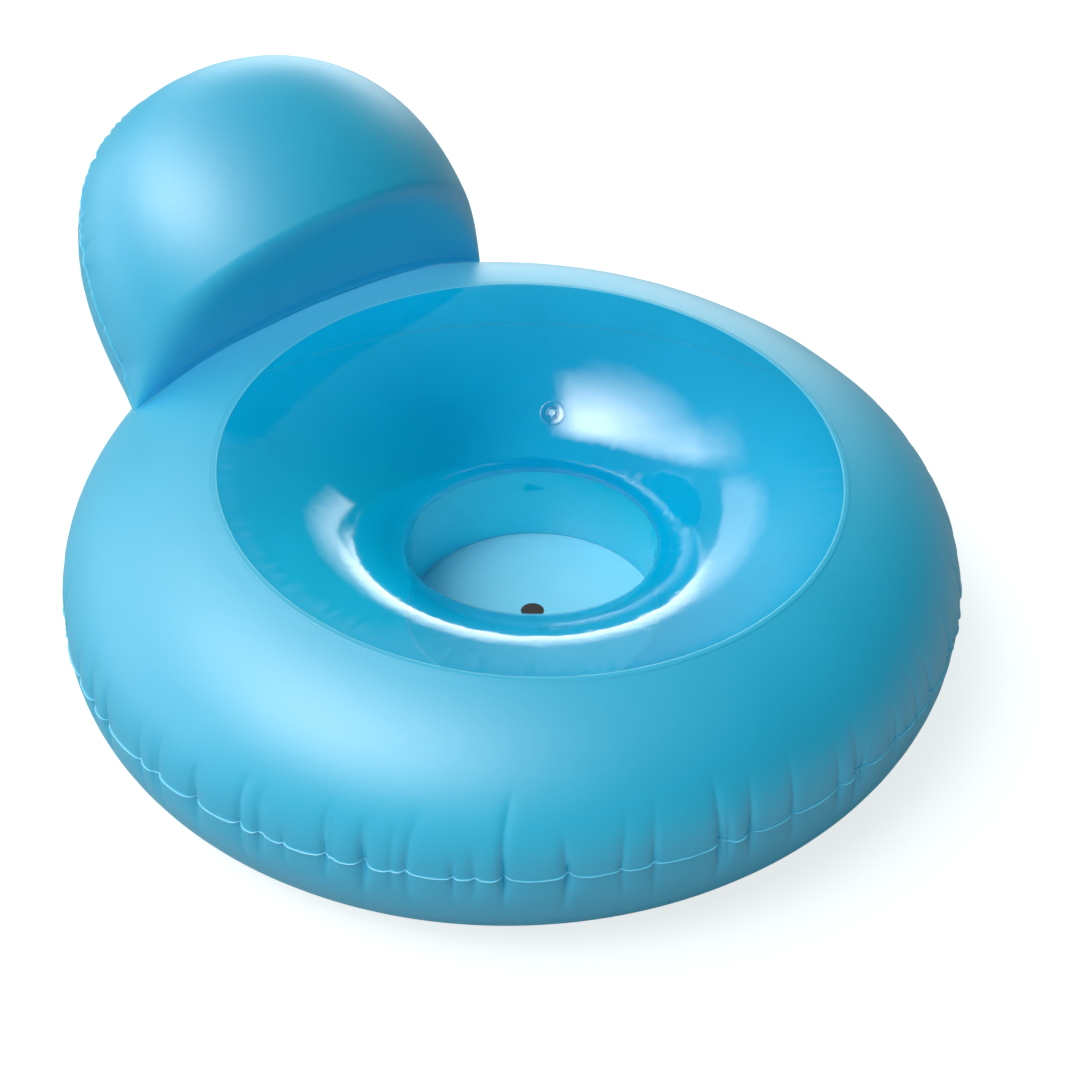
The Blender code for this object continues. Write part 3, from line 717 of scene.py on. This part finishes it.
def tucked(along, distance):
    """How far the gathers of the pillow's seam draw its sheets in."""
    pull = np.zeros_like(along)
    for at, depth, width, reach, lean in zip(tuck_at, tuck_depth, tuck_width, tuck_reach, tuck_lean):
        aside = along - at - lean * distance
        left = np.clip(1 - distance / reach, 0, 1) ** 1.4
        pull += depth * left * np.exp(-((np.abs(aside) / (width + 0.25 * distance)) ** 1.25))
    return pull


def clear_of_foot(share):
    """The gathers fade out towards the pillow's foot."""
    return np.clip((share - 0.02) / 0.08, 0, 1)


def towards_heart(spot):
    """The way from each spot to the pillow's middle."""
    heart = pillow_middle(np.full(len(spot), heart_share), np.zeros(len(spot)))
    inward = heart - spot
    return inward / np.linalg.norm(inward, axis=1, keepdims=True)


def pillow_parts(u, v):
    """For each spot of the bag: its share of the height, its place across, its side, how far the bag
    swells there, the way out, and how far the two sheets stand apart."""
    turn, round_it = np.pi * v, 2 * np.pi * u
    across, side = np.cos(round_it), np.where(u < 0.5, 1.0, -1.0)
    share = share_at(turn)
    swell = pillow_half_thickness * np.sin(turn) * np.abs(np.sin(round_it))
    lean = pillow_tilt * np.minimum(1.0, turn * 8)
    out = np.stack([np.zeros_like(lean), -np.cos(lean), np.sin(lean)], axis=-1)
    splay = sheet_gauge + foot_spread * np.cos(turn / 2) ** 8
    spread = splay * np.minimum(1, 12 * np.abs(np.sin(round_it)))
    return share, across, side, swell, out, spread * np.minimum(1, turn * 20)


def pillow_place(u, v):
    share, across, side, swell, out, spread = pillow_parts(u, v)
    x = pillow_half_width_at(share) * across
    spot = pillow_middle(share, x) + out * (side * (swell + spread))[:, None]
    rest = ring_height(spot[:, 0], spot[:, 1]) + foot_top
    spot[:, 2] = np.maximum(spot[:, 2], rest + foot_clearance * np.minimum(1, 4 * np.pi * v))
    return spot


def pillow_tucks(u, v):
    """The gathers' pull at each spot, from its nearest place on the outline, some spots at a time."""
    share, across, _, swell, _, _ = pillow_parts(u, v)
    x, up = pillow_half_width_at(share) * across, pillow_height * share
    pull, batch = np.zeros_like(u), 4000
    for start in range(0, len(u), batch):
        piece = slice(start, start + batch)
        gap = np.hypot(x[piece, None] - outline_x[None], up[piece, None] - outline_up[None])
        nearest = np.argmin(gap, axis=1)
        distance = np.hypot(gap[np.arange(len(nearest)), nearest], swell[piece])
        pull[piece] = tucked(outline_run[nearest], distance)
    return pull * clear_of_foot(share)


def pillow_bag(u, v):
    """The pillow's outer face. The gathers draw it in towards the pillow's middle."""
    spot = pillow_place(u, v)
    return spot + towards_heart(spot) * pillow_tucks(u, v)[:, None]


pillow = skin("head_pillow", 320, 190, pillow_bag)
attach(pillow, "lounger")
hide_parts("pillow_front_panel", "pillow_back_panel")
# Its sheets let much of the light through, so it casts no hard shadow and glows a little within.
pillow.visible_shadow = False
pillow_vinyl = vinyl("pillow_vinyl", sheet_blue, 0.50, 1.0, 0.50, 0.0006)
pillow_shader = pillow_vinyl.node_tree.nodes["Principled BSDF"]
pillow_shader.inputs["Subsurface Weight"].default_value = 0.5
pillow_shader.inputs["Subsurface Radius"].default_value = (0.05, 0.6, 1.0)
pillow_shader.inputs["Subsurface Scale"].default_value = 0.12
pillow.data.materials.append(pillow_vinyl)


# Pillow seam. The same narrow welded fin as the ring's, from one foot over the top to the other.
# It follows the pillow's gathers in and out, and its inner edge is held between the two sheets.
first_turn = np.pi / 8


def pillow_fin_place(u, v):
    along = first_turn + (2 * np.pi - 2 * first_turn) * u
    turn = np.minimum(along, 2 * np.pi - along)
    side = np.where(along < np.pi, 1.0, -1.0)
    share = share_at(turn)
    spot = pillow_middle(share, pillow_half_width_at(share) * side)
    whole_turn = np.concatenate([outline_turn[:steps], 2 * np.pi - outline_turn[steps:]])
    run = np.interp(along, whole_turn, outline_run)
    pull = tucked(run, np.zeros_like(run)) * clear_of_foot(share)
    k = np.rint(v * (len(fin_section) - 1)).astype(int)
    out, up = fin_section[k, 0], fin_section[k, 1]
    reach = np.where(out < 0, fin_allowance, fin_height) * out
    thick_way = np.array([0, -math.cos(pillow_tilt), math.sin(pillow_tilt)])
    return spot + towards_heart(spot) * (pull - reach)[:, None] + thick_way * (up * sheet_gauge)[:, None]


pillow_seam = skin("pillow_seam_fin", 900, len(fin_section) - 1, pillow_fin_place)
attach(pillow_seam, "lounger")
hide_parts("pillow_seam_weld")
pillow_seam.data.materials.append(weld_vinyl)


# Foot weld. A flat strip across the back of the ring, under the pillow's foot, that welds the
# pillow to the ring's top sheet. It follows the crown of the ring from side to side.
def foot_place(u, v):
    corners = np.array([(-1, 0), (1, 0), (1, 1), (-1, 1)])
    k = np.rint(v * len(corners)).astype(int) % len(corners)
    x = (pillow_half_width_at(np.zeros_like(u)) + fin_height) * np.sin(np.pi * (u - 0.5))
    y = foot_y + corners[k, 0] * foot_half_width
    return np.stack([x, y, ring_height(x, y) + foot_gap + corners[k, 1] * foot_thickness], axis=-1)


foot_weld = skin("pillow_foot_strip", 160, 4, foot_place)
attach(foot_weld, "lounger")
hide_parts("pillow_foot_weld")
foot_weld.data.materials.append(weld_vinyl)


# Valves. Each is moulded in soft vinyl: a flange welded to the sheet with a cup in its middle, a
# stem that pushes in, a plug on a strap, and a flap inside that the air holds shut.
valve_vinyl = vinyl("valve_vinyl", (0.10, 0.50, 0.76), 0.28, 0.6, 0.10, 0.0002, dust=0.0)
valve_clear = film("valve_clear", (0.02, 0.48, 0.84), 0.35, 0.75)
# Painted highlight: the ring valve's plug is given a pale colour that stands in for the bright highlight
# on its cap.
pale_plug_painted_highlight = vinyl("pale_plug_painted_highlight", (0.42, 0.60, 0.86), 0.25, 0.6, 0.10, 0.0002, dust=0.0)


def turned(name, profile, at):
    """A ring of edges is extruded from corner to corner of the outline, then rounded off."""
    bpy.ops.object.select_all(action="DESELECT")
    radius, height = profile[0]
    bpy.ops.mesh.primitive_circle_add(vertices=64, radius=radius, location=(0, 0, height))
    piece = bpy.context.active_object
    piece.name = piece.data.name = name
    bpy.ops.object.mode_set(mode="EDIT")
    bpy.ops.mesh.select_all(action="SELECT")
    for next_radius, next_height in profile[1:] + profile[:1]:
        bpy.ops.mesh.extrude_region_move(TRANSFORM_OT_translate={"value": (0, 0, next_height - height)})
        scale = next_radius / radius
        bpy.ops.transform.resize(value=(scale, scale, 1), center_override=(0, 0, next_height))
        radius, height = next_radius, next_height
    bpy.ops.mesh.select_all(action="SELECT")
    bpy.ops.mesh.remove_doubles(threshold=1e-6)
    bpy.ops.mesh.normals_make_consistent(inside=False)
    bpy.ops.object.mode_set(mode="OBJECT")
    rounded = piece.modifiers.new("rounded", "BEVEL")
    rounded.width = edge_rounding
    rounded.segments = 2
    rounded.limit_method = "ANGLE"
    bpy.ops.object.modifier_apply(modifier=rounded.name)
    bpy.ops.object.shade_smooth_by_angle(angle=math.radians(40))
    bpy.ops.object.transform_apply(location=True, rotation=True, scale=True)
    piece.data.transform(at)
    return piece


# Each valve's frame: its place on the sheet, its axis out of the chamber, and the way of its hinges.
valve_frames = {
    "ring": (
        (0.158041, 0.022305, 0.286778),
        (-0.491752, -0.482822, 0.724612),
        (0.682703, -0.730324, -0.023318),
    ),
    "pillow": ((0.0, 0.651381, 0.364295), (0.0, 0.890643, -0.454703), (1.0, 0.0, 0.0)),
}
flange_radius, flange_thickness, flange_bead, bead_width = 0.0175, 0.0012, 0.0007, 0.0016
cup_radius, cup_wall, cup_depth = 0.0105, 0.0010, 0.0140
stem_radius, stem_bore, stem_head, head_thickness, head_proud = 0.0055, 0.0035, 0.0086, 0.0020, 0.0005
stem_travel, stop_radius, stop_thickness, slide_clearance = 0.010, 0.0072, 0.0015, 0.0003
cap_radius, cap_thickness, shank_length, plug_top, plug_tip = 0.0048, 0.0014, 0.0042, 0.0030, 0.0020
lip_width, bore_lip, groove_slope, groove_depth, dimple = 0.0012, 0.0014, 0.0006, 0.0004, 0.0003
edge_rounding, tiny = 0.00025, 0.00002

for chamber, (origin, axis, sideways) in valve_frames.items():
    z, y = Vector(axis).normalized(), Vector(sideways).normalized()
    at = Matrix((y.cross(z), y, z)).transposed().to_4x4()
    at.translation = origin
    away = at.inverted()
    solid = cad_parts[chamber + "_valve_flange"]
    rim_top = max((away @ vertex.co).z for vertex in solid.data.vertices)
    top = rim_top - flange_bead
    base, under = top - flange_thickness, top - flange_thickness - cup_depth
    inside, hole, bead = cup_radius - cup_wall, stem_radius + slide_clearance, flange_radius - bead_width
    # The ring valve's plug takes the pale colour of its painted highlight.
    made_of, plugged_with = (valve_clear, pale_plug_painted_highlight) if chamber == "ring" else (valve_vinyl, valve_vinyl)
    flange = turned(
        chamber + "_valve_collar",
        [(hole, under), (cup_radius, under), (cup_radius, base), (flange_radius, base),
         (flange_radius, rim_top), (bead, rim_top), (bead - flange_bead, top), (inside, top),
         (inside, under + cup_wall), (hole, under + cup_wall)],
        at,
    )
    head = top + head_proud
    groove, lip = head - groove_depth, stem_head - lip_width
    stop = under - stem_travel - touch_gap
    stem = turned(
        chamber + "_valve_push_stem",
        [(stem_bore, stop - stop_thickness), (stop_radius, stop - stop_thickness), (stop_radius, stop),
         (stem_radius, stop), (stem_radius, head - head_thickness), (stem_head, head - head_thickness),
         (stem_head, head), (lip, head), (lip - groove_slope, groove),
         (stem_bore + bore_lip + groove_slope, groove), (stem_bore + bore_lip, head), (stem_bore, head)],
        at,
    )
    cap = head + touch_gap
    crown = cap + cap_thickness
    plug = turned(
        chamber + "_valve_plug_cap",
        [(tiny, cap - shank_length), (plug_tip, cap - shank_length), (plug_top, cap), (cap_radius, cap),
         (cap_radius, cap + cap_thickness * 0.6), (cap_radius - cap_thickness * 0.4, crown),
         (plug_tip, crown), (plug_tip * 0.7, crown - dimple), (tiny, crown - dimple)],
        at,
    )
    for piece, node, body, finish in (
        (flange, "_valve_flange", "lounger", made_of),
        (stem, "_valve_stem", chamber + "_valve_stem_body", made_of),
        (plug, "_valve_plug", chamber + "_valve_plug_body", plugged_with),
    ):
        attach(piece, body)
        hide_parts(chamber + node)
        piece.data.materials.clear()
        piece.data.materials.append(finish)
    for node in ("_valve_strap", "_valve_flap"):
        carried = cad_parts[chamber + node]
        carried.data.materials.clear()
        carried.data.materials.append(valve_vinyl)


# Studio. A pale floor without an edge, a large soft key high on the left, a bright wall behind on
# the right, and a dim cool room elsewhere, all of them seen again in the clear film.
bpy.ops.object.select_all(action="DESELECT")
bpy.ops.mesh.primitive_circle_add(vertices=96, radius=14, fill_type="NGON", location=(0, 0, -0.0002))
ground = bpy.context.active_object
ground.name = "studio_floor"
paper = bpy.data.materials.new("studio_paper")
paper.use_nodes = True
tree = paper.node_tree
lit = tree.nodes["Principled BSDF"]
lit.inputs["Base Color"].default_value = (0.42, 0.42, 0.42, 1)
lit.inputs["Roughness"].default_value = 0.9
seen = tree.nodes.new("ShaderNodeLightPath")
either = reckon(tree, "MAXIMUM", seen.outputs["Is Camera Ray"], seen.outputs["Is Transmission Ray"])
lit.inputs["Emission Color"].default_value = (1, 0.985, 0.975, 1)
place = tree.nodes.new("ShaderNodeTexCoord")
apart = tree.nodes.new("ShaderNodeVectorMath")
apart.operation = "DISTANCE"
apart.inputs[1].default_value = (0, ring_centre_y, 0)
tree.links.new(place.outputs["Object"], apart.inputs[0])
# Painted shade: the floor's glow, as seen by the camera, drops almost to nothing under the ring, standing
# in for the shadow seen through the drain hole.
glow_painted_dark_under_ring = ranged(tree, apart.outputs["Value"], contact_inner, 0.45, 0.05, 0.76)
tree.links.new(reckon(tree, "MULTIPLY", either, glow_painted_dark_under_ring), lit.inputs["Emission Strength"])
ground.data.materials.append(paper)

world = bpy.data.worlds.new("studio")
bpy.context.scene.world = world
world.use_nodes = True
tree = world.node_tree
tree.nodes.clear()
way = tree.nodes.new("ShaderNodeTexCoord")
parts = tree.nodes.new("ShaderNodeSeparateXYZ")
tree.links.new(way.outputs["Generated"], parts.inputs["Vector"])


def product(*values):
    """The product of two or more values of the tree in hand."""
    result = values[0]
    for value in values[1:]:
        result = reckon(tree, "MULTIPLY", result, value)
    return result


def between_edges(source, low, low_soft, high, high_soft):
    """1 between two edges, each with its own softness in degrees."""
    rise = ranged(tree, source, low - low_soft / 2, low + low_soft / 2, 0, 1)
    fall = ranged(tree, source, high - high_soft / 2, high + high_soft / 2, 1, 0)
    return product(rise, fall)


def facing(direction):
    """How far a direction of the room agrees with the given one, squared."""
    node = tree.nodes.new("ShaderNodeVectorMath")
    node.operation = "DOT_PRODUCT"
    node.inputs[1].default_value = direction
    tree.links.new(way.outputs["Generated"], node.inputs[0])
    share = reckon(tree, "MAXIMUM", node.outputs["Value"], 0.0)
    return product(share, share)


# Every light is placed by its bearing round the room, from +X towards +Y, and by its height, in degrees.
degrees = 180 / math.pi
height = product(reckon(tree, "ARCSINE", parts.outputs["Z"], 0), degrees)
turned_by = product(reckon(tree, "ARCTAN2", parts.outputs["Y"], parts.outputs["X"]), degrees)
bearing = reckon(tree, "MODULO", reckon(tree, "ADD", turned_by, 360), 360)
# The key is a big softbox whose light falls off to one side, where a narrow wing carries it on.
key = product(between_edges(bearing, 134, 76, 206, 26), between_edges(height, 43.5, 12, 72, 26))
wing = product(between_edges(bearing, 91, 26, 127, 46), between_edges(height, 40, 7, 50, 12))
# The far wall shows as a band that climbs to both sides and is broader on the right. A dim patch
# lies above it, a leaning strip stands beside it and a low band runs along the horizon.
aside = reckon(tree, "SUBTRACT", bearing, 50)
climb = reckon(tree, "MAXIMUM", aside, reckon(tree, "MINIMUM", product(aside, -0.8), 16))
over = reckon(tree, "SUBTRACT", height, climb)
under = reckon(tree, "SUBTRACT", over, product(reckon(tree, "MAXIMUM", aside, 0.0), 0.42))
across_wall = product(ranged(tree, over, -3.8, -2.2, 0, 1), ranged(tree, under, 0, 9, 1, 0))
along_wall = product(between_edges(bearing, 17, 2, 84, 7), ranged(tree, bearing, 32, 46, 1, 0.64))
wall = product(across_wall, along_wall, ranged(tree, height, 33, 39, 1, 0))
above_wall = product(between_edges(height, 9, 6, 36, 14), between_edges(bearing, 46, 4, 68, 14))
slope = reckon(tree, "ADD", height, product(bearing, 0.29))
strip = product(between_edges(slope, 38, 2, 53, 22), between_edges(bearing, 99, 6, 160, 10))
horizon = product(between_edges(height, -1, 2, 9, 8), between_edges(bearing, 29, 8, 64, 12))
dome = facing((-0.198, 0.740, 0.643))
glow = product(key, 7.0)
weaker = (wing, 3.0), (wall, 1.9), (above_wall, 0.40), (strip, 2.2), (horizon, 4.2), (dome, 0.15)
for light, strength in weaker:
    glow = reckon(tree, "ADD", glow, product(light, strength))
# The room's own light is cooler. It comes low from the front left, and some from behind on the right.
room = reckon(tree, "ADD", product(facing((-0.782, -0.621, 0.050)), 1.08), 0.05)
room = reckon(tree, "ADD", product(facing((0.50, 0.52, 0.69)), 0.32), room)
path = tree.nodes.new("ShaderNodeLightPath")
lamps = tree.nodes.new("ShaderNodeBackground")
tree.links.new(glow, lamps.inputs["Strength"])
room_light = tree.nodes.new("ShaderNodeBackground")
tree.links.new(room, room_light.inputs["Strength"])
both = tree.nodes.new("ShaderNodeAddShader")
tree.links.new(lamps.outputs["Background"], both.inputs[0])
tree.links.new(room_light.outputs["Background"], both.inputs[1])
plain = tree.nodes.new("ShaderNodeBackground")
pick = tree.nodes.new("ShaderNodeMixShader")
out = tree.nodes.new("ShaderNodeOutputWorld")
white, cool = (1, 1, 1, 1), (0.06, 0.74, 0.86, 1)
for background, colour in ((lamps, white), (room_light, cool), (plain, white)):
    background.inputs["Color"].default_value = colour
tree.links.new(path.outputs["Is Camera Ray"], pick.inputs["Fac"])
tree.links.new(both.outputs["Shader"], pick.inputs[1])
tree.links.new(plain.outputs["Background"], pick.inputs[2])
tree.links.new(pick.outputs["Shader"], out.inputs["Surface"])

# The camera stands over the ring's front left, as in the photograph.
stand, aim, roll = Vector((-1.45884, -1.87652, 1.97428)), Vector((0, ring_centre_y, 0.07)), -0.0191
ahead = (aim - stand).normalized()
right = ahead.cross(Vector((0, 0, 1))).normalized()
up = right.cross(ahead)
tilted_right = math.cos(roll) * right + math.sin(roll) * up
tilted_up = -math.sin(roll) * right + math.cos(roll) * up
bpy.ops.object.camera_add(location=stand)
camera = bpy.context.active_object
camera.rotation_euler = Matrix((tilted_right, tilted_up, -ahead)).transposed().to_euler()
camera.data.lens = 71.68
camera.data.shift_x, camera.data.shift_y = 0.02284, 0.07072
bpy.context.scene.camera = camera
bpy.context.scene.view_settings.view_transform = "Standard"
